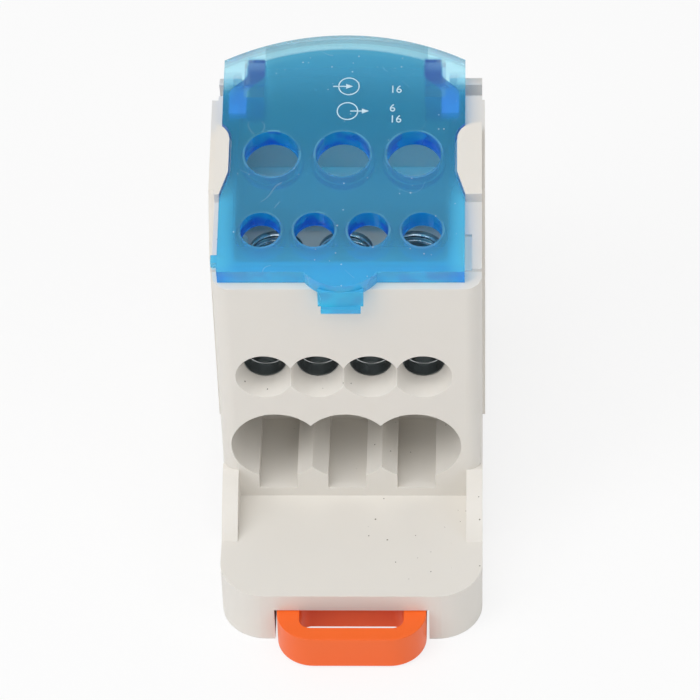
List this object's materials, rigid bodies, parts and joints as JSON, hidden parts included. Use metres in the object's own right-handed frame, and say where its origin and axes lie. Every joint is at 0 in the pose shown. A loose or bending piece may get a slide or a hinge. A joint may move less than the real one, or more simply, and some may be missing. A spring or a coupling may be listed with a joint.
{
  "type": "power distribution block",
  "caption": "Rail-mounted power distribution block with large and small front wire entries, a translucent flip-up cover over the clamping screws and a pull-out rail latch.",
  "frame": {"origin": "middle of the rail seat, on the plane that rests on the top-hat rail", "axes": "+X to the right seen from the wire entries, along the rail; +Y from the wire entries to the back; +Z away from the rail, up towards the cover"},
  "size_m": [0.0295, 0.0662, 0.0478],
  "materials": {
    "housing_plastic": "fine matte moulding",
    "cover_plastic": "translucent blue, frosted underside",
    "latch_plastic": "satin orange",
    "nickelled_brass": "nickel plated",
    "screw_steel": "zinc plated"
  },
  "bodies": {
    "housing": {"housing": "housing_plastic", "terminal_block": "nickelled_brass"},
    "cover": {"cover": "cover_plastic"},
    "rail_latch": {"rail_latch": "latch_plastic"},
    "large_screw_1": {"large_screw_1": "screw_steel"},
    "large_screw_2": {"large_screw_2": "screw_steel"},
    "large_screw_3": {"large_screw_3": "screw_steel"},
    "small_screw_1": {"small_screw_1": "screw_steel"},
    "small_screw_2": {"small_screw_2": "screw_steel"},
    "small_screw_3": {"small_screw_3": "screw_steel"},
    "small_screw_4": {"small_screw_4": "screw_steel"}
  },
  "joints": [
    {"name": "cover_hinge", "type": "hinge", "parent": "housing", "child": "cover", "pos_m": [0, 0.0071, 0.0373], "axis": [-1, 0, 0], "range_deg": [0, 103]},
    {"name": "latch_slide", "type": "slide", "parent": "housing", "child": "rail_latch", "axis": [0, -1, 0], "range_m": [0, 0.003]},
    {"name": "large_screw_1_drive", "type": "slide", "parent": "housing", "child": "large_screw_1", "axis": [0, 0, -1], "range_m": [0, 0.005]},
    {"name": "large_screw_2_drive", "type": "slide", "parent": "housing", "child": "large_screw_2", "axis": [0, 0, -1], "range_m": [0, 0.005]},
    {"name": "large_screw_3_drive", "type": "slide", "parent": "housing", "child": "large_screw_3", "axis": [0, 0, -1], "range_m": [0, 0.005]},
    {"name": "small_screw_1_drive", "type": "slide", "parent": "housing", "child": "small_screw_1", "axis": [0, 0, -1], "range_m": [0, 0.0038]},
    {"name": "small_screw_2_drive", "type": "slide", "parent": "housing", "child": "small_screw_2", "axis": [0, 0, -1], "range_m": [0, 0.0038]},
    {"name": "small_screw_3_drive", "type": "slide", "parent": "housing", "child": "small_screw_3", "axis": [0, 0, -1], "range_m": [0, 0.0038]},
    {"name": "small_screw_4_drive", "type": "slide", "parent": "housing", "child": "small_screw_4", "axis": [0, 0, -1], "range_m": [0, 0.0038]}
  ]
}
